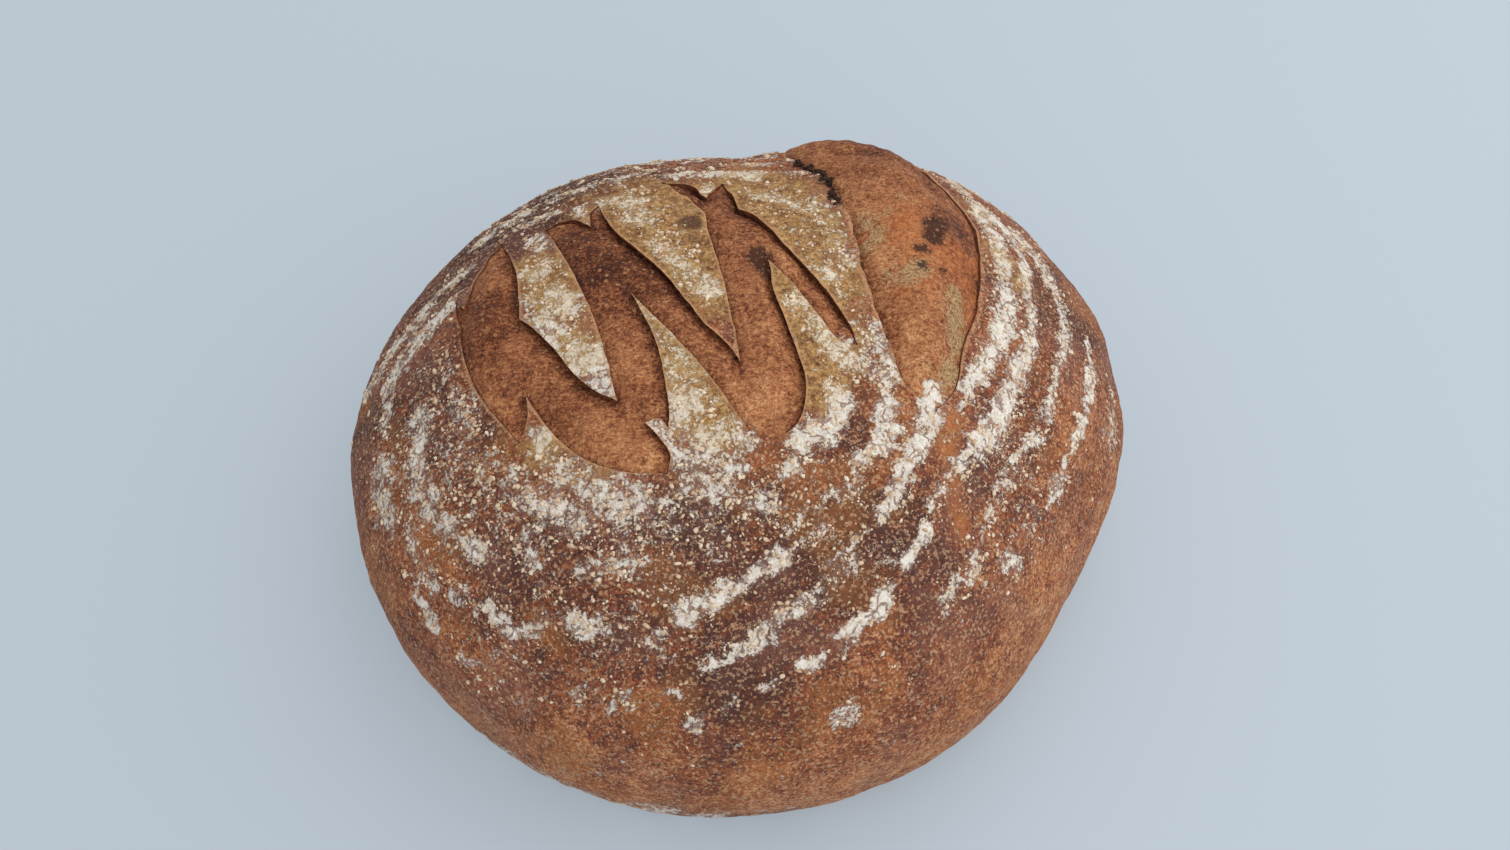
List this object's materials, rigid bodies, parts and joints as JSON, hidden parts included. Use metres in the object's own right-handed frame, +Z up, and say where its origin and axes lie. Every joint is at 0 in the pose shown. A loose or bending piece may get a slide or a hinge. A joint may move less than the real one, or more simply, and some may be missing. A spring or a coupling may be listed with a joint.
{
  "type": "sourdough loaf",
  "caption": "Round hearth-baked bread loaf with a scored, flour-ringed crust and one long burst side; it stands on its flat base.",
  "frame": {"origin": "middle of the bounding box at the base, on the surface that the loaf stands on", "axes": "+Z up; +X to the right and +Y away for someone who looks at the slashes as a W"},
  "size_m": [0.2244, 0.2071, 0.1017],
  "materials": {
    "crust": "matte browned crust, dusted with flour, glossier and redder where the dough burst open"
  },
  "bodies": {
    "root": {"loaf": "crust"}
  },
  "joints": []
}
